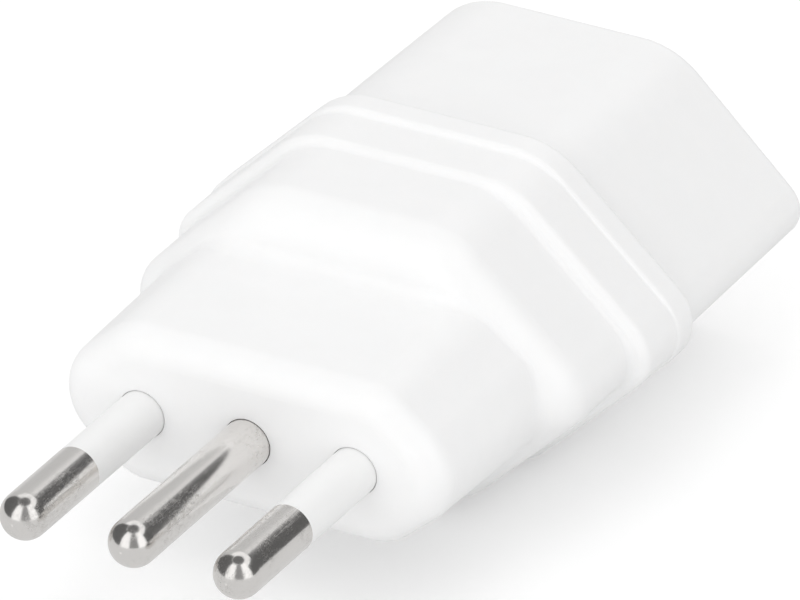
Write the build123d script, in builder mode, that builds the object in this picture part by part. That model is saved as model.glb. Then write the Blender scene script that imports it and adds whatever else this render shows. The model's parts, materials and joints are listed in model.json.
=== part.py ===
"""Travel adapter: a three-pin in-line plug at the front and a recessed hexagonal socket behind.

Every y below is counted backwards from the plug face, along the pins, and every x and z is counted
from the middle pin's axis. The finished adapter stands with its collar lip on the ground plane.
"""

import os
from math import radians, sin, tan

from build123d import *

os.makedirs("parts", exist_ok=True)

# Plug pins, millimetres
pin_diameter = 4.0
pin_pitch = 9.5
pin_reach = 19.0
earth_pin_reach = 18.7
sleeve_length = 9.5
sleeve_wall = 0.5
sleeve_bore_clearance = 0.02
flange_diameter = 5.2
flange_thickness = 1.5
pin_hole_clearance = 0.05
rivet_neck_diameter = 2.5
rivet_head_diameter = 3.8
rivet_head_thickness = 0.8
rivet_clearance = 0.02
root_relief_setback = 0.1
root_relief_width = 0.6
root_relief_depth = 0.2
pin_bore_diameter = 1.6
pin_bore_depth = 35.0

# Nose of the plug, round the pins
nose_side_margin = 5.6
nose_top_margin = 4.85
nose_slant = 40.0
nose_top_radius = 4.2
nose_side_radius = 4.8
nose_length = 14.4
nose_draft = 1.6
nose_edge_radius = 2.4
nose_root_radius = 1.2
nose_wall = 1.8
face_thickness = 3.0

# Recess that takes the plug, and the holes in its floor
recess_width = 36.0
recess_height = 17.5
recess_slant = 45.0
recess_top_radius = 3.0
recess_side_radius = 2.5
recess_depth = 10.0
recess_mouth_radius = 0.5
recess_floor_thickness = 2.2
socket_pin_reach = 19.0
socket_pin_tip_gap = 0.9
socket_earth_offset = 5.0
socket_hole_diameter = 4.4
socket_hole_lead_in = 0.6
lead_in_angle = 45.0

# Socket half, round the recess
socket_side_wall = 2.45
socket_top_wall = 3.55
socket_slant = 45.0
socket_top_radius = 7.3
socket_side_radius = 2.9
socket_draft = 0.6
socket_edge_radius = 0.7
spigot_length = 5.0
spigot_wall = 1.1
fit_clearance = 0.15
least_corner_radius = 0.5

# Stepped collar in front of the socket half: lip, band and shoulder, each narrower than the last
collar_slant = 43.4
collar_top_radius = 6.7
collar_side_radius = 3.6
lip_side_radius = 4.0
lip_side_step = 1.0
lip_top_step = 0.75
lip_length = 2.9
lip_edge_radius = 0.6
lip_back_radius = 0.6
lip_root_radius = 0.3
band_side_step = 0.1
band_top_step = 0.45
band_length = 4.7
band_edge_radius = 0.9
band_root_radius = 0.6
shoulder_side_step = 1.4
shoulder_top_step = 0.45
shoulder_length = 9.9
shoulder_edge_radius = 3.4
shoulder_wall = 2.0
root_wall = 2.0

# Contacts behind the recess floor
contact_wall = 0.8
contact_base_thickness = 1.2
contact_floor_gap = 0.5
contact_slot_width = 0.5
contact_slot_length = 12.0
contact_mouth_chamfer = 0.2
spring_thickness = 0.4
spring_length = 3.0
spring_setback = 2.0
spring_gap_width = 2.2
strap_width = 4.6
strap_thickness = 1.0

# Insulating carriers
carrier_plate_thickness = 2.0
chamber_clearance = 0.15
core_hole_diameter = 3.2
core_hole_depth = 9.0
core_hole_height = 2.0

# Housing screws and their bosses
screw_diameter = 2.5
screw_clearance = 0.05
screw_head_diameter = 4.4
screw_length = 20.0
screw_point_length = 1.5
screw_hole_diameter = 3.0
drive_width = 0.7
drive_span = 2.6
drive_depth = 0.8
boss_diameter = 4.4
boss_skin = 0.1
boss_length = 25.0
pilot_extra_depth = 1.0

# Overall widths and heights, from the recess outwards and from the pins outwards
socket_width = recess_width + 2 * socket_side_wall
socket_height = recess_height + 2 * socket_top_wall
lip_width = socket_width + 2 * lip_side_step
lip_height = socket_height + 2 * lip_top_step
band_width = lip_width - 2 * band_side_step
band_height = lip_height - 2 * band_top_step
shoulder_width = band_width - 2 * shoulder_side_step
shoulder_height = band_height - 2 * shoulder_top_step
nose_width = 2 * pin_pitch + pin_diameter + 2 * nose_side_margin
nose_height = pin_diameter + 2 * nose_top_margin

# Places along the pins, from the plug face backwards
band_start = nose_length + shoulder_length
lip_start = band_start + band_length
joint_y = lip_start + lip_length
seat_y = nose_length + root_wall
contact_seat_y = seat_y + carrier_plate_thickness
earth_contact_seat_y = contact_seat_y + strap_thickness
earth_rivet_end_y = earth_contact_seat_y + contact_base_thickness + rivet_head_thickness
recess_floor_y = earth_rivet_end_y + socket_pin_tip_gap + socket_pin_reach
body_length = recess_floor_y + recess_depth
axis_z = lip_height / 2
face_y = -(body_length - pin_reach) / 2

# Radii and places worked out from the sizes above
pin_radius = pin_diameter / 2
core_diameter = pin_diameter - 2 * sleeve_wall
floor_front_y = recess_floor_y - recess_floor_thickness
contact_mouth_y = floor_front_y - contact_floor_gap
contact_radius = pin_radius + contact_wall
chamber_radius = contact_radius + spring_thickness + chamber_clearance
boss_end_y = face_thickness + boss_length
screw_x = pin_pitch / 2
screw_drop = nose_height / 2 - boss_diameter / 2 - boss_skin
screw_end_y = recess_floor_y - screw_length
pilot_start_y = screw_end_y - pilot_extra_depth
spigot_start_y = joint_y - spigot_length
spigot_inset = shoulder_wall + fit_clearance
spigot_bore_inset = spigot_inset + spigot_wall

side_pins = {"line": -pin_pitch, "neutral": pin_pitch}
pin_places = [(-pin_pitch, 0), (0, 0), (pin_pitch, 0)]
earth_contact_place = (0, socket_earth_offset)
contact_places = [(-pin_pitch, 0), earth_contact_place, (pin_pitch, 0)]
screws = {"left": -screw_x, "right": screw_x}
screw_places = [(x, -screw_drop) for x in screws.values()]

# An outline is its width, height, slant, top corner radius and side corner radius
nose_outline = (nose_width, nose_height, nose_slant, nose_top_radius, nose_side_radius)
shoulder_outline = (shoulder_width, shoulder_height, collar_slant, collar_top_radius, collar_side_radius)
band_outline = (band_width, band_height, collar_slant, collar_top_radius, collar_side_radius)
lip_outline = (lip_width, lip_height, collar_slant, collar_top_radius, lip_side_radius)
socket_outline = (socket_width, socket_height, socket_slant, socket_top_radius, socket_side_radius)
recess_outline = (recess_width, recess_height, recess_slant, recess_top_radius, recess_side_radius)


def station(y):
    """The upright plane square to the pins at y: its z runs backwards, its y up and its x towards -X."""
    return Plane(origin=(0, face_y + y, axis_z), x_dir=(-1, 0, 0), z_dir=(0, 1, 0))


def hexagon(y, outline, inset=0.0):
    """A flattened hexagon with rounded corners at y, drawn `inset` inside the given outline all round."""
    width, height, slant, top_radius, side_radius = outline
    slope = radians(slant)
    half_height = height / 2 - inset
    point = width / 2 + side_radius * (1 / sin(slope) - 1) - inset / sin(slope)
    shoulder = point - half_height / tan(slope)
    with BuildSketch(station(y)) as outline_sketch:
        with BuildLine():
            Polyline(
                (shoulder, half_height),
                (point, 0),
                (shoulder, -half_height),
                (-shoulder, -half_height),
                (-point, 0),
                (-shoulder, half_height),
                close=True,
            )
        make_face()
        fillet(outline_sketch.vertices().group_by(Axis.Y)[1], max(side_radius - inset, least_corner_radius))
        levels = outline_sketch.vertices().group_by(Axis.Y)
        fillet(levels[0] + levels[-1], max(top_radius - inset, least_corner_radius))
    return outline_sketch.sketch


def discs(y, places, diameter):
    """Equal round faces at y, one on each of the given x and z places."""
    with BuildSketch(station(y)) as disc_sketch:
        with Locations(*[(-x, z) for x, z in places]):
            Circle(diameter / 2)
    return disc_sketch.sketch


def ring(y, place, outer_diameter, inner_diameter):
    """A flat ring at y, round the given x and z place."""
    return discs(y, [place], outer_diameter) - discs(y, [place], inner_diameter)


def cross(y, place, span, width):
    """Two crossed bars at y, each span long and width wide, on the given x and z place."""
    x, z = place
    with BuildSketch(station(y)) as cross_sketch:
        with Locations((-x, z)):
            Rectangle(span, width)
            Rectangle(width, span)
    return cross_sketch.sketch


def lengthways(place):
    """The level plane through the axis at the given x and z: its x runs backwards from the plug face."""
    x, z = place
    return Plane(origin=(x, face_y, axis_z + z), x_dir=(0, 1, 0), z_dir=(0, 0, 1))


def turning_axis(place):
    """The line, parallel to the pins, that a piece at the given x and z is turned about."""
    x, z = place
    return Axis((x, face_y, axis_z + z), (0, 1, 0))


def rounded_block(start, end, outline, edge_radius):
    """A straight block of the outline from start back to end, with its front rim rounded."""
    with BuildPart() as block:
        extrude(hexagon(start, outline), amount=end - start)
        fillet(block.faces().sort_by(Axis.Y)[0].edges(), edge_radius)
    return block.part


def stepped(narrow, wide, root_radius):
    """Two blocks joined, with the inner corner where the wide one begins rounded."""
    joined = narrow + wide
    return joined.fillet(root_radius, new_edges(narrow, wide, combined=joined))


def turned_pin(x, reach, clamped_thickness):
    """A ball-ended hollow pin at x, relieved just inside the face, flanged behind it, riveted at its tail."""
    flange_back = face_thickness + flange_thickness
    neck_end = contact_seat_y + clamped_thickness
    head_end = neck_end + rivet_head_thickness
    bore_end = head_end - pin_bore_depth
    relief_end = root_relief_setback + root_relief_width
    with BuildPart() as pin:
        with BuildSketch(lengthways((x, 0))):
            with BuildLine():
                CenterArc((pin_radius - reach, 0), pin_radius, 90, 90)
                Polyline(
                    (pin_radius - reach, pin_radius),
                    (root_relief_setback, pin_radius),
                    (root_relief_setback, pin_radius - root_relief_depth),
                    (relief_end, pin_radius - root_relief_depth),
                    (relief_end, pin_radius),
                    (face_thickness, pin_radius),
                    (face_thickness, flange_diameter / 2),
                    (flange_back, flange_diameter / 2),
                    (flange_back, core_diameter / 2),
                    (contact_seat_y, core_diameter / 2),
                    (contact_seat_y, rivet_neck_diameter / 2),
                    (neck_end, rivet_neck_diameter / 2),
                    (neck_end, rivet_head_diameter / 2),
                    (head_end, rivet_head_diameter / 2),
                    (head_end, pin_bore_diameter / 2),
                    (bore_end, pin_bore_diameter / 2),
                    (bore_end, 0),
                    (-reach, 0),
                )
            make_face()
        revolve(axis=turning_axis((x, 0)))
    return pin.part


def contact_sleeve(place, seat):
    """A slotted contact tube at the given x and z, its pierced base on seat and its mouth at the socket."""
    base_back = seat + contact_base_thickness
    bore_length = contact_mouth_y - base_back
    with BuildPart() as contact:
        extrude(discs(seat, [place], 2 * contact_radius), amount=contact_mouth_y - seat)
        extrude(discs(base_back, [place], pin_diameter), amount=bore_length, mode=Mode.SUBTRACT)
        mouth_edges = contact.edges().filter_by(GeomType.CIRCLE).group_by(Axis.Y)[-1]
        chamfer(mouth_edges.sort_by(SortBy.RADIUS)[0], contact_mouth_chamfer)
        neck_hole = discs(seat, [place], rivet_neck_diameter + 2 * rivet_clearance)
        extrude(neck_hole, amount=contact_base_thickness, mode=Mode.SUBTRACT)
        slots = cross(contact_mouth_y - contact_slot_length, place, 2 * chamber_radius, contact_slot_width)
        extrude(slots, amount=contact_slot_length, mode=Mode.SUBTRACT)
    return contact.part


def spring_clip(place):
    """A split steel band round a contact tube near its mouth."""
    start = contact_mouth_y - spring_setback - spring_length
    inner_diameter = 2 * (contact_radius + sleeve_bore_clearance)
    x, z = place
    with BuildPart() as clip:
        band = ring(start, place, 2 * (contact_radius + spring_thickness), inner_diameter)
        extrude(band, amount=spring_length)
        with BuildSketch(station(start)):
            with Locations((-x, z - contact_radius)):
                Rectangle(spring_gap_width, contact_radius)
        extrude(amount=spring_length, mode=Mode.SUBTRACT)
    return clip.part


def housing_screw(x):
    """A countersunk self-tapping screw at x, its head flush with the recess floor."""
    place = (x, -screw_drop)
    head_radius = screw_head_diameter / 2
    shank_radius = screw_diameter / 2
    with BuildPart() as screw:
        with BuildSketch(lengthways(place)):
            with BuildLine():
                Polyline(
                    (recess_floor_y, 0),
                    (recess_floor_y, head_radius),
                    (recess_floor_y - (head_radius - shank_radius), shank_radius),
                    (screw_end_y + screw_point_length, shank_radius),
                    (screw_end_y, 0),
                    close=True,
                )
            make_face()
        revolve(axis=turning_axis(place))
        drive = cross(recess_floor_y - drive_depth, place, drive_span, drive_width)
        extrude(drive, amount=drive_depth, mode=Mode.SUBTRACT)
    return screw.part


# Front housing: nose, stepped collar, pin holes and screw bosses
with BuildPart() as nose:
    extrude(hexagon(0, nose_outline), amount=band_start, taper=-nose_draft)
    fillet(nose.faces().sort_by(Axis.Y)[0].edges(), nose_edge_radius)
shoulder = rounded_block(nose_length, joint_y, shoulder_outline, shoulder_edge_radius)
band = rounded_block(band_start, joint_y, band_outline, band_edge_radius)
lip = rounded_block(lip_start, joint_y, lip_outline, lip_edge_radius)
front_body = stepped(nose.part, shoulder, nose_root_radius)
front_body = stepped(front_body, band, band_root_radius)
front_body = stepped(front_body, lip, lip_root_radius)
with BuildPart() as plug_shell:
    add(front_body)
    back_rim = plug_shell.faces().sort_by(Axis.Y)[-1].edges()
    fillet(back_rim, lip_back_radius)
    nose_cavity = hexagon(face_thickness, nose_outline, nose_wall)
    extrude(nose_cavity, amount=seat_y - face_thickness, mode=Mode.SUBTRACT)
    collar_cavity = hexagon(seat_y, shoulder_outline, shoulder_wall)
    extrude(collar_cavity, amount=joint_y - seat_y, mode=Mode.SUBTRACT)
    extrude(discs(face_thickness, screw_places, boss_diameter), amount=boss_length)
    pilot_holes = discs(pilot_start_y, screw_places, screw_diameter + 2 * screw_clearance)
    extrude(pilot_holes, amount=boss_end_y - pilot_start_y, mode=Mode.SUBTRACT)
    pin_holes = discs(0, pin_places, pin_diameter + 2 * pin_hole_clearance)
    extrude(pin_holes, amount=face_thickness, mode=Mode.SUBTRACT)
plug_shell.part.label = "plug_shell"
export_step(plug_shell.part, "parts/plug_shell.step")

# Rear housing: hexagonal socket body with its recess, contact holes and joining spigot
floor_holes = [
    (contact_places, socket_hole_diameter, socket_hole_lead_in),
    (screw_places, screw_hole_diameter, (screw_head_diameter - screw_hole_diameter) / 2 + screw_clearance),
]
with BuildPart() as socket_shell:
    extrude(hexagon(joint_y, socket_outline), amount=body_length - joint_y, taper=socket_draft)
    fillet(socket_shell.faces().sort_by(Axis.Y)[-1].edges(), socket_edge_radius)
    extrude(hexagon(spigot_start_y, shoulder_outline, spigot_inset), amount=spigot_length)
    bore = hexagon(spigot_start_y, shoulder_outline, spigot_bore_inset)
    extrude(bore, amount=floor_front_y - spigot_start_y, mode=Mode.SUBTRACT)
    extrude(hexagon(recess_floor_y, recess_outline), amount=recess_depth, mode=Mode.SUBTRACT)
    mouth = socket_shell.faces().sort_by(Axis.Y)[-1].inner_wires()[0]
    fillet(mouth.edges(), recess_mouth_radius)
    for places, diameter, lead_in in floor_holes:
        extrude(discs(floor_front_y, places, diameter), amount=recess_floor_thickness, mode=Mode.SUBTRACT)
        lead_in_cones = discs(recess_floor_y - lead_in, places, diameter)
        extrude(lead_in_cones, amount=lead_in, taper=-lead_in_angle, mode=Mode.SUBTRACT)
socket_shell.part.label = "socket_shell"
export_step(socket_shell.part, "parts/socket_shell.step")

# Block inside the nose that holds the pin flanges against the face
with BuildPart() as pin_holder:
    holder_length = seat_y - face_thickness
    extrude(hexagon(face_thickness, nose_outline, nose_wall + fit_clearance), amount=holder_length)
    flange_pockets = discs(face_thickness, pin_places, flange_diameter + 2 * fit_clearance)
    extrude(flange_pockets, amount=flange_thickness, mode=Mode.SUBTRACT)
    tail_holes = discs(face_thickness, pin_places, core_diameter + 2 * pin_hole_clearance)
    extrude(tail_holes, amount=holder_length, mode=Mode.SUBTRACT)
    boss_notches = discs(face_thickness, screw_places, boss_diameter + 2 * fit_clearance)
    extrude(boss_notches, amount=holder_length, mode=Mode.SUBTRACT)
    core_places = [(x, core_hole_height) for x in screws.values()]
    core_holes = discs(seat_y - core_hole_depth, core_places, core_hole_diameter)
    extrude(core_holes, amount=core_hole_depth, mode=Mode.SUBTRACT)
pin_holder.part.label = "pin_holder"
export_step(pin_holder.part, "parts/pin_holder.step")

# Carrier between the nose and the recess floor: a flanged block with a chamber for each contact
with BuildPart() as contact_carrier:
    chamber_length = floor_front_y - contact_seat_y
    block = hexagon(contact_seat_y, shoulder_outline, spigot_bore_inset + fit_clearance)
    extrude(block, amount=chamber_length)
    plate = hexagon(seat_y, shoulder_outline, shoulder_wall + fit_clearance)
    extrude(plate, amount=carrier_plate_thickness)
    chambers = discs(contact_seat_y, contact_places, 2 * chamber_radius)
    extrude(chambers, amount=chamber_length, mode=Mode.SUBTRACT)
    plate_holes = discs(seat_y, pin_places, core_diameter + 2 * pin_hole_clearance)
    extrude(plate_holes, amount=carrier_plate_thickness, mode=Mode.SUBTRACT)
    rivet_pocket = discs(seat_y, [earth_contact_place], rivet_head_diameter + 2 * fit_clearance)
    extrude(rivet_pocket, amount=carrier_plate_thickness, mode=Mode.SUBTRACT)
    boss_holes = discs(seat_y, screw_places, boss_diameter + 2 * fit_clearance)
    extrude(boss_holes, amount=boss_end_y + fit_clearance - seat_y, mode=Mode.SUBTRACT)
    shank_holes = discs(seat_y, screw_places, screw_hole_diameter)
    extrude(shank_holes, amount=floor_front_y - seat_y, mode=Mode.SUBTRACT)
    with BuildSketch(station(contact_seat_y)):
        with Locations((0, socket_earth_offset / 2)):
            SlotCenterToCenter(socket_earth_offset, strap_width + 2 * fit_clearance, rotation=90)
    strap_slot_depth = strap_thickness + rivet_head_thickness + fit_clearance
    extrude(amount=strap_slot_depth, mode=Mode.SUBTRACT)
contact_carrier.part.label = "contact_carrier"
export_step(contact_carrier.part, "parts/contact_carrier.step")

# Live pins, each with a thinner core under its insulating sleeve
relieved_diameter = pin_diameter - 2 * root_relief_depth
sleeve_reach = sleeve_length + face_thickness
for name, x in side_pins.items():
    with BuildPart() as live_pin:
        add(turned_pin(x, pin_reach, contact_base_thickness))
        waist = ring(-sleeve_length, (x, 0), flange_diameter, core_diameter)
        extrude(waist, amount=sleeve_reach, mode=Mode.SUBTRACT)
    live_pin.part.label = f"{name}_pin"
    export_step(live_pin.part, f"parts/{name}_pin.step")

    with BuildPart() as pin_sleeve:
        tube = ring(-sleeve_length, (x, 0), pin_diameter, core_diameter + 2 * sleeve_bore_clearance)
        extrude(tube, amount=sleeve_reach)
        relief = ring(root_relief_setback, (x, 0), pin_diameter, relieved_diameter)
        extrude(relief, amount=root_relief_width, mode=Mode.SUBTRACT)
    pin_sleeve.part.label = f"{name}_pin_sleeve"
    export_step(pin_sleeve.part, f"parts/{name}_pin_sleeve.step")

# Bare earth pin, riveted to the strap that cranks across to its offset contact
earth_pin = turned_pin(0, earth_pin_reach, strap_thickness)
earth_pin.label = "earth_pin"
export_step(earth_pin, "parts/earth_pin.step")

with BuildPart() as earth_strap:
    with BuildSketch(station(contact_seat_y)):
        with Locations((0, socket_earth_offset / 2)):
            SlotCenterToCenter(socket_earth_offset, strap_width, rotation=90)
        with Locations((0, 0), earth_contact_place):
            Circle(rivet_neck_diameter / 2 + rivet_clearance, mode=Mode.SUBTRACT)
    extrude(amount=strap_thickness)
earth_strap.part.label = "earth_strap"
export_step(earth_strap.part, "parts/earth_strap.step")

with BuildPart() as earth_contact_rivet:
    rivet_grip = strap_thickness + contact_base_thickness
    heads = [contact_seat_y - rivet_head_thickness, contact_seat_y + rivet_grip]
    extrude(discs(contact_seat_y, [earth_contact_place], rivet_neck_diameter), amount=rivet_grip)
    for head_y in heads:
        extrude(discs(head_y, [earth_contact_place], rivet_head_diameter), amount=rivet_head_thickness)
earth_contact_rivet.part.label = "earth_contact_rivet"
export_step(earth_contact_rivet.part, "parts/earth_contact_rivet.step")

# Contacts and the steel clips that keep them closed on a plug's pins
contacts = {name: ((x, 0), contact_seat_y) for name, x in side_pins.items()}
contacts["earth"] = (earth_contact_place, earth_contact_seat_y)
for name, (place, seat) in contacts.items():
    contact = contact_sleeve(place, seat)
    contact.label = f"{name}_contact"
    export_step(contact, f"parts/{name}_contact.step")
    clip = spring_clip(place)
    clip.label = f"{name}_contact_spring"
    export_step(clip, f"parts/{name}_contact_spring.step")

for name, x in screws.items():
    screw = housing_screw(x)
    screw.label = f"{name}_housing_screw"
    export_step(screw, f"parts/{name}_housing_screw.step")
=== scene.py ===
"""Looks of the travel adapter: white moulded shells, sleeved nickel pins and the metal inside."""

import json
import math

import bpy
import numpy as np
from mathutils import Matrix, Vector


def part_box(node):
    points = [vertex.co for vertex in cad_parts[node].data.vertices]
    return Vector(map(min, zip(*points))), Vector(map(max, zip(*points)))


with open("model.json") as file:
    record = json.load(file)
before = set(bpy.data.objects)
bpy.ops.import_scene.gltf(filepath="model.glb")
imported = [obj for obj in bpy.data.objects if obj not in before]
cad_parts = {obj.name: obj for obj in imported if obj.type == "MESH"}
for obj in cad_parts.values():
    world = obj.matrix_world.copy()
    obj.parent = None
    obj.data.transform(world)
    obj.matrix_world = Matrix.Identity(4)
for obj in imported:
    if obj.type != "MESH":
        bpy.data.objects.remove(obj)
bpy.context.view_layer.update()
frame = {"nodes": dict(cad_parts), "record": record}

# Places in metres: the pins lie along Y, at one height, and point towards -Y from the plug face
pin_height = 0.01305
plug_face = np.array([0.0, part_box("plug_shell")[0][1], pin_height])
subject = np.array([0.0, -0.012, 0.012])

# Camera fitted to the photo: turned, raised and rolled, and aimed a little beside the plug face
azimuth = math.radians(31.675)
elevation_degrees = 29.754
roll = math.radians(-2.332)
camera_distance = 1.08166
aim_right = 0.011703
aim_up = 0.010935
focal_pixels = 14101.0
picture_pixels = 800.0
sensor_width = 36.0

# Studio levels, where 1 is white
world_level = 0.86
floor_level = 0.90
floor_colour = 0.82
floor_width = 14.0

# Plastic: how it bends light, and how far and in what colour light spreads in it
plastic_ior = 1.49
spread_colour = (1.0, 0.96, 0.92)
spread_distance = 0.0012

dust_colour = (0.62, 0.60, 0.56, 1)
bared_colour = (0.78, 0.72, 0.62, 1)
white = (1, 1, 1, 1)


# Shader nodes

def new_group(name, inputs, outputs):
    """An empty node group with named value inputs (name, default) and outputs (name, socket type)."""
    group = bpy.data.node_groups.new(name, "ShaderNodeTree")
    for label, value in inputs:
        socket = group.interface.new_socket(label, in_out="INPUT", socket_type="NodeSocketFloat")
        socket.default_value = value
    for label, kind in outputs:
        group.interface.new_socket(label, in_out="OUTPUT", socket_type=kind)
    return group, group.nodes.new("NodeGroupInput").outputs, group.nodes.new("NodeGroupOutput").inputs


def plug_in(links, target, value):
    """Sets a socket to a number or colour, or links it to another socket."""
    if isinstance(value, bpy.types.NodeSocket):
        links.new(value, target)
    else:
        target.default_value = value


def node(tree, kind, settings=(), **values):
    """A node with its settings and its input sockets, named in lower case, set or linked."""
    made = tree.nodes.new(kind)
    for key, value in dict(settings).items():
        setattr(made, key, value)
    for key, value in values.items():
        names = [s for s in made.inputs if s.enabled and s.name.lower().replace(" ", "_") == key]
        plug_in(tree.links, names[0], value)
    return made


def reckon(tree, operation, first, second):
    """One step of arithmetic on two values."""
    made = tree.nodes.new("ShaderNodeMath")
    made.operation = operation
    plug_in(tree.links, made.inputs[0], first)
    plug_in(tree.links, made.inputs[1], second)
    return made.outputs[0]


def plus(tree, first, second):
    """The sum of two values."""
    return reckon(tree, "ADD", first, second)


def minus(tree, first, second):
    """The first value less the second."""
    return reckon(tree, "SUBTRACT", first, second)


def times(tree, first, second):
    """The product of two values."""
    return reckon(tree, "MULTIPLY", first, second)


def position(tree):
    """The place on the piece, in metres."""
    return tree.nodes.new("ShaderNodeTexCoord").outputs["Object"]


def scaled(tree, vector, factors):
    """A position stretched by three factors."""
    made = tree.nodes.new("ShaderNodeVectorMath")
    made.operation = "MULTIPLY"
    tree.links.new(vector, made.inputs[0])
    made.inputs[1].default_value = factors
    return made.outputs[0]


def ramp(tree, value, low, high, start=0.0, end=1.0):
    """A value carried smoothly from low..high to start..end, and held outside it."""
    made = node(tree, "ShaderNodeMapRange", {"interpolation_type": "SMOOTHSTEP"},
                value=value, from_min=low, from_max=high, to_min=start, to_max=end)
    return made.outputs[0]


def noise(tree, place, scale, detail=3.0, roughness=0.55):
    """Fractal noise at so many lumps per metre."""
    made = node(tree, "ShaderNodeTexNoise", vector=place, scale=scale, detail=detail, roughness=roughness)
    return made.outputs["Fac"]


def blend(tree, amount, first, second):
    """A colour between two."""
    made = tree.nodes.new("ShaderNodeMix")
    made.data_type = "RGBA"
    plug_in(tree.links, made.inputs[0], amount)
    plug_in(tree.links, made.inputs[6], first)
    plug_in(tree.links, made.inputs[7], second)
    return made.outputs[2]


# Node groups shared by several finishes

def make_moulded_grain():
    """Fine spark-eroded grain of a mould: two noises, one a grain and one the slow swell of the tool's polish."""
    group, given, result = new_group(
        "moulded_grain",
        [("Grain", 9000.0), ("Swell", 260.0)],
        [("Height", "NodeSocketFloat"), ("Tone", "NodeSocketFloat")])
    place = position(group)
    fine = noise(group, place, given["Grain"], 2.0)
    slow = noise(group, place, given["Swell"], 4.0)
    height = plus(group, times(group, fine, 0.55), times(group, slow, 0.45))
    group.links.new(height, result["Height"])
    group.links.new(slow, result["Tone"])
    return group


def make_edge_rub():
    """Edges and rims: how far the surface turns within a small radius, broken up by a noise."""
    group, given, result = new_group(
        "edge_rub",
        [("Reach", 0.0004), ("Breakup", 1800.0)],
        [("Edge", "NodeSocketFloat")])
    rounded = node(group, "ShaderNodeBevel", {"samples": 6}, radius=given["Reach"])
    flat = group.nodes.new("ShaderNodeNewGeometry")
    dot = group.nodes.new("ShaderNodeVectorMath")
    dot.operation = "DOT_PRODUCT"
    group.links.new(rounded.outputs[0], dot.inputs[0])
    group.links.new(flat.outputs["Normal"], dot.inputs[1])
    turned = ramp(group, dot.outputs["Value"], 0.995, 0.9)
    broken = ramp(group, noise(group, position(group), given["Breakup"], 5.0, 0.7), 0.35, 0.65)
    group.links.new(times(group, turned, broken), result["Edge"])
    return group


def make_plug_marks():
    """Rubbing marks along Y, as a contact spring leaves them: stretched noise cut to thin lines, in patches."""
    group, given, result = new_group(
        "plug_marks",
        [("Lines", 5200.0), ("Patches", 420.0)],
        [("Lines", "NodeSocketFloat"), ("Patches", "NodeSocketFloat")])
    place = position(group)
    drawn = noise(group, scaled(group, place, (1.0, 0.035, 1.0)), given["Lines"], 3.0, 0.6)
    lines = ramp(group, drawn, 0.56, 0.68)
    spread = noise(group, scaled(group, place, (1.0, 0.4, 1.0)), given["Patches"], 4.0)
    patches = ramp(group, spread, 0.42, 0.62)
    group.links.new(times(group, lines, patches), result["Lines"])
    group.links.new(patches, result["Patches"])
    return group


def make_settled_dust():
    """Dust on what faces up: the upward share of the surface's direction, through a speckled noise."""
    group, given, result = new_group(
        "settled_dust",
        [("Speckle", 3800.0)],
        [("Dust", "NodeSocketFloat")])
    facing = group.nodes.new("ShaderNodeNewGeometry").outputs["Normal"]
    parts = group.nodes.new("ShaderNodeSeparateXYZ")
    group.links.new(facing, parts.inputs[0])
    specks = ramp(group, noise(group, position(group), given["Speckle"], 2.0), 0.70, 0.78)
    upward = ramp(group, parts.outputs["Z"], 0.3, 0.9)
    group.links.new(times(group, specks, upward), result["Dust"])
    return group


moulded_grain = make_moulded_grain()
edge_rub = make_edge_rub()
plug_marks = make_plug_marks()
settled_dust = make_settled_dust()


# Finishes

def finish(name):
    """A new material with its surface shader: (material, node tree, Principled node)."""
    material = bpy.data.materials.new(name)
    material.use_nodes = True
    tree = material.node_tree
    surface = next(n for n in tree.nodes if n.type == "BSDF_PRINCIPLED")
    return material, tree, surface


def shaded_by(tree, surface, shader):
    """Puts another shader in the Principled node's place."""
    tree.nodes.remove(surface)
    end = next(n for n in tree.nodes if n.type == "OUTPUT_MATERIAL")
    tree.links.new(shader.outputs[0], end.inputs["Surface"])


def use(tree, group, **values):
    """A node group placed in a material with its own values."""
    made = tree.nodes.new("ShaderNodeGroup")
    made.node_tree = group
    for key, value in values.items():
        made.inputs[key].default_value = value
    return made.outputs


def relief(tree, surface, height, distance):
    """Small relief on the surface, distance metres deep."""
    bump = node(tree, "ShaderNodeBump", strength=1.0, distance=distance, height=height)
    tree.links.new(bump.outputs[0], surface.inputs["Normal"])


def moulded_plastic(name, colour, worn, roughness, grain, depth, body):
    """Moulded plastic: grained, a little glossier on its rubbed edges, its tone drifting slightly, a few specks."""
    material, tree, surface = finish(name)
    texture = use(tree, moulded_grain, Grain=grain)
    edges = use(tree, edge_rub)["Edge"]
    dust = use(tree, settled_dust)["Dust"]
    deep = tuple(c * 0.985 for c in colour)
    tone = blend(tree, ramp(tree, texture["Tone"], 0.3, 0.7), (*colour, 1), (*deep, 1))
    tone = blend(tree, times(tree, edges, 0.6), tone, (*worn, 1))
    tone = blend(tree, times(tree, dust, 0.10), tone, dust_colour)
    tree.links.new(tone, surface.inputs["Base Color"])
    sheen = ramp(tree, texture["Tone"], 0.3, 0.7, roughness - 0.03, roughness + 0.04)
    sheen = minus(tree, sheen, times(tree, edges, 0.08))
    tree.links.new(sheen, surface.inputs["Roughness"])
    surface.inputs["IOR"].default_value = plastic_ior
    surface.inputs["Subsurface Weight"].default_value = body
    surface.inputs["Subsurface Radius"].default_value = spread_colour
    surface.inputs["Subsurface Scale"].default_value = spread_distance
    relief(tree, surface, texture["Height"], depth)
    return material


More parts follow.
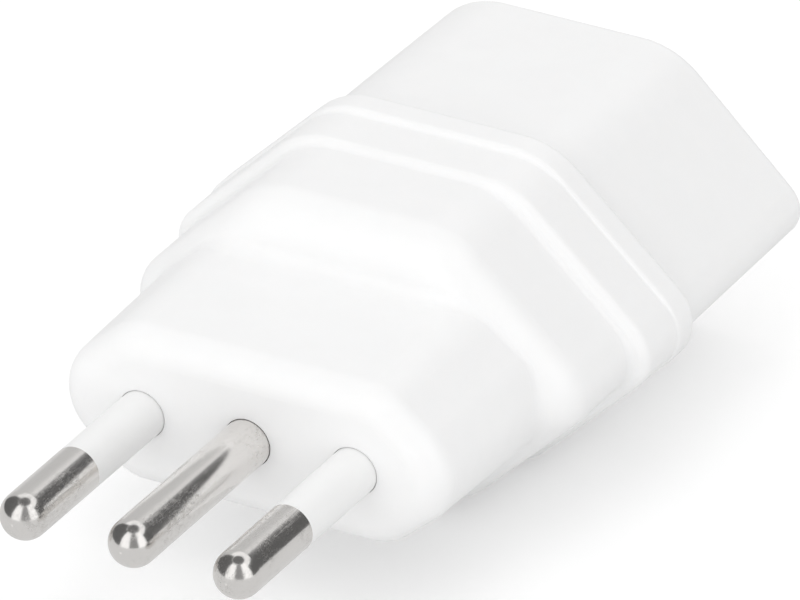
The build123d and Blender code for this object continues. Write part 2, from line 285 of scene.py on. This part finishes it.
def plated_pin(name, colour, rubbed, roughness, depth):
    """Bright nickel: rubbed along the pin, with dull mottled patches, faint turning rings and fine scratches."""
    material, tree, surface = finish(name)
    marks = use(tree, plug_marks)
    scratches = use(tree, plug_marks, Lines=14000.0, Patches=900.0)["Lines"]
    edges = use(tree, edge_rub, Reach=0.00015)["Edge"]
    place = position(tree)
    rings = node(tree, "ShaderNodeTexWave",
                 {"wave_type": "BANDS", "bands_direction": "Y", "wave_profile": "SIN"},
                 vector=place, scale=1300.0, distortion=1.5, detail=2.0).outputs["Fac"]
    mottle = ramp(tree, noise(tree, scaled(tree, place, (1.0, 0.5, 1.0)), 3600.0, 5.0, 0.72), 0.44, 0.64)
    dulled = times(tree, mottle, marks["Patches"])
    tone = blend(tree, times(tree, dulled, 0.75), (*colour, 1), (*rubbed, 1))
    tone = blend(tree, times(tree, scratches, 0.25), tone, (*rubbed, 1))
    tone = blend(tree, times(tree, edges, 0.5), tone, bared_colour)
    tree.links.new(tone, surface.inputs["Base Color"])
    surface.inputs["Metallic"].default_value = 1.0
    dull = plus(tree, roughness, times(tree, dulled, 0.16))
    dull = plus(tree, dull, times(tree, marks["Lines"], 0.14))
    dull = plus(tree, dull, times(tree, scratches, 0.10))
    tree.links.new(dull, surface.inputs["Roughness"])
    height = minus(tree, times(tree, rings, 0.25), times(tree, marks["Lines"], 0.5))
    height = minus(tree, height, times(tree, scratches, 0.3))
    height = minus(tree, height, times(tree, mottle, 0.3))
    relief(tree, surface, height, depth)
    return material


def worked_metal(name, colour, stained, roughness, grain, depth):
    """Rolled or plated sheet: a drawn grain along Y, slow staining, and bright edges."""
    material, tree, surface = finish(name)
    lines = use(tree, plug_marks, Lines=grain, Patches=700.0)["Lines"]
    edges = use(tree, edge_rub, Reach=0.0002)["Edge"]
    texture = use(tree, moulded_grain, Grain=6000.0, Swell=500.0)
    tone = blend(tree, ramp(tree, texture["Tone"], 0.35, 0.65), (*colour, 1), (*stained, 1))
    bright = tuple(min(1.0, c * 1.12) for c in colour)
    tone = blend(tree, times(tree, edges, 0.7), tone, (*bright, 1))
    tree.links.new(tone, surface.inputs["Base Color"])
    surface.inputs["Metallic"].default_value = 1.0
    tree.links.new(plus(tree, roughness, times(tree, lines, 0.15)), surface.inputs["Roughness"])
    relief(tree, surface, plus(tree, lines, texture["Height"]), depth)
    return material


# Each look: colour, colour where rubbed or stained, roughness, then what its finish asks for besides
plastics = {
    "white_shell": ((0.93, 0.93, 0.93), (0.95, 0.95, 0.95), 0.36, 9000.0, 0.0000035, 0.15),
    "white_sleeve": ((0.92, 0.92, 0.915), (0.94, 0.94, 0.935), 0.42, 12000.0, 0.000003, 0.1),
    "grey_insulator": ((0.78, 0.78, 0.76), (0.86, 0.86, 0.84), 0.55, 5000.0, 0.000008, 0.0),
}
pins = {
    "nickel_pin": ((0.82, 0.80, 0.78), (0.66, 0.645, 0.62), 0.17, 0.0000022),
}
metals = {
    "bronze_contact": ((0.78, 0.60, 0.34), (0.66, 0.46, 0.24), 0.26, 3800.0, 0.000003),
    "spring_steel": ((0.50, 0.51, 0.53), (0.42, 0.42, 0.45), 0.30, 5000.0, 0.000003),
    "zinc_screw": ((0.66, 0.67, 0.69), (0.60, 0.62, 0.66), 0.28, 5000.0, 0.000003),
}
finishes = {}
for make, looks in ((moulded_plastic, plastics), (plated_pin, pins), (worked_metal, metals)):
    for name, look in looks.items():
        finishes[name] = make(name, *look)

slot_of = {part["node"]: part["material_slot"] for part in frame["record"]["subparts"]}
for name, piece in frame["nodes"].items():
    for slot in piece.material_slots:
        slot.material = finishes[slot_of[name]]


# Studio: a pale floor, soft lamps, and dark and grey cards that only the shine sees

def gridded(name, points):
    """A staged card through a grid of points, one four-cornered face for each cell of the grid."""
    index = np.arange(points.shape[0] * points.shape[1]).reshape(points.shape[:2])
    faces = np.stack([index[:-1, :-1], index[:-1, 1:], index[1:, 1:], index[1:, :-1]], -1).reshape(-1, 4)
    mesh = bpy.data.meshes.new(name)
    mesh.from_pydata(points.reshape(-1, 3).tolist(), [], faces.tolist())
    card = bpy.data.objects.new(name, mesh)
    bpy.context.collection.objects.link(card)
    return card


def level_card(name, height, width):
    """A level square card: (u, v, height), with u and v running over its width."""
    reach = np.array([-0.5, 0.5]) * width
    u, v = np.meshgrid(reach, reach)
    return gridded(name, np.stack([u, v, np.full(u.shape, height)], -1))


def seen_as_background(tree):
    """1 for rays from the camera and for those that reach it off metal or through glass, else 0."""
    light = tree.nodes.new("ShaderNodeLightPath").outputs
    both = reckon(tree, "MAXIMUM", light["Is Camera Ray"], light["Is Glossy Ray"])
    return reckon(tree, "MAXIMUM", both, light["Is Transmission Ray"])


def floor_finish():
    """Pale paper: its own shaded colour, lifted to white where the background is seen, so the shadow stays."""
    material, tree, surface = finish("studio_floor")
    shade = node(tree, "ShaderNodeBsdfDiffuse", color=(floor_colour, floor_colour, floor_colour, 1))
    lift = times(tree, seen_as_background(tree), 1.0 - floor_level * floor_colour)
    glow = node(tree, "ShaderNodeEmission", color=white, strength=lift)
    both = tree.nodes.new("ShaderNodeAddShader")
    tree.links.new(shade.outputs[0], both.inputs[0])
    tree.links.new(glow.outputs[0], both.inputs[1])
    shaded_by(tree, surface, both)
    return material


def towards(turn, rise):
    """The direction turn degrees round from the camera's side (positive to its left) and rise degrees up.

    Two grids of angles give a grid of directions.
    """
    around = azimuth - np.radians(turn)
    lifted = np.radians(rise)
    return np.stack([np.sin(around) * np.cos(lifted), -np.cos(around) * np.cos(lifted), np.sin(lifted)], -1)


def facing_axes(direction):
    """Level right and upward directions of something that faces back along a direction."""
    right = np.cross((0, 0, 1.0), direction)
    right /= np.linalg.norm(right)
    return right, np.cross(direction, right)


def stand(holder, right, up, outward, place):
    """Puts a lamp or camera at a place, facing against outward; its matrix is given column by column."""
    holder.matrix_world = [[*right, 0.0], [*up, 0.0], [*outward, 0.0], [*place, 1.0]]


def soft_lamp(name, turn, rise, distance, width, height, level, shines):
    """A rectangular soft lamp that looks at the adapter, its face at the given brightness."""
    lamp = bpy.data.lights.new(name, "AREA")
    lamp.shape = "RECTANGLE"
    lamp.size = width
    lamp.size_y = height
    lamp.energy = level * math.pi * width * height
    holder = bpy.data.objects.new(name, lamp)
    direction = towards(turn, rise)
    right, up = facing_axes(direction)
    stand(holder, right, up, direction, subject + direction * distance)
    holder.visible_camera = False
    holder.visible_glossy = shines
    bpy.context.collection.objects.link(holder)


def reflected_only(card, level):
    """Gives a card one even brightness, and hides it from all but reflections."""
    material, tree, surface = finish(card.name)
    shaded_by(tree, surface, node(tree, "ShaderNodeEmission", color=(level, level, level, 1), strength=1.0))
    card.data.materials.append(material)
    card.visible_camera = False
    card.visible_diffuse = False
    card.visible_shadow = False
    card.visible_transmission = False
    card.visible_volume_scatter = False


def shine_card(name, turns, rises, distance, level):
    """A curved card that only reflections show: the patch of a sphere between two turns and two rises.

    Its points are subject + distance * towards(turn, rise) over an even grid of the two angles.
    """
    turn, rise = np.meshgrid(np.linspace(*turns, 13), np.linspace(*rises, 9))
    reflected_only(gridded(name, subject + distance * towards(turn, rise)), level)


floor = level_card("floor", 0.0, floor_width)
floor.data.materials.append(floor_finish())

world = bpy.data.worlds.new("studio")
bpy.context.scene.world = world
world.use_nodes = True
sky = world.node_tree
backdrop = next(n for n in sky.nodes if n.type == "BACKGROUND")
backdrop.inputs["Color"].default_value = white
sky.links.new(ramp(sky, seen_as_background(sky), 0.0, 1.0, world_level, 1.0), backdrop.inputs["Strength"])

# Lamps: turn and rise in degrees, distance, width and height in metres, brightness, seen in reflections
for lamp_look in (
        ("left_strip", 39.2, 33, 1.0, 0.60, 1.20, 0.14, True),
        ("right_strip", -38.3, 33, 1.0, 0.52, 1.20, 0.18, True),
        ("front_fill", 22, 8, 1.2, 0.8, 0.4, 2.2, False),
        ("left_fill", 85, 32, 1.2, 0.6, 0.6, 0.7, False),
        ("overhead", -20, 82, 1.2, 0.7, 0.7, 0.85, False)):
    soft_lamp(*lamp_look)

# Cards: between two turns and two rises in degrees, distance in metres, brightness
for card_look in (
        ("camera_side_card", (19, -20), (1, 66), 3.0, 0.30),
        ("left_dark_card", (64, 146), (1, 66), 3.0, 0.13),
        ("right_dark_card", (-62, -143), (1, 45), 3.0, 0.12),
        ("back_card", (-143, -214), (1, 44), 3.0, 0.60),
        ("ceiling_card", (180, -180), (67, 90), 3.0, 0.16)):
    shine_card(*card_look)
reflected_only(level_card("table_card", 0.0004, 4.0), 0.72)

camera_data = bpy.data.cameras.new("view")
camera = bpy.data.objects.new("view", camera_data)
bpy.context.collection.objects.link(camera)
back = towards(0.0, elevation_degrees)
level_right, level_up = facing_axes(back)
tilted_right = math.cos(roll) * level_right + math.sin(roll) * level_up
tilted_up = -math.sin(roll) * level_right + math.cos(roll) * level_up
stand(camera, tilted_right, tilted_up, back,
      plug_face + back * camera_distance + tilted_right * aim_right + tilted_up * aim_up)
camera_data.sensor_width = sensor_width
camera_data.lens = focal_pixels * sensor_width / picture_pixels
camera_data.clip_start = 0.05
camera_data.clip_end = 40.0
bpy.context.scene.camera = camera
bpy.context.scene.view_settings.view_transform = "Standard"
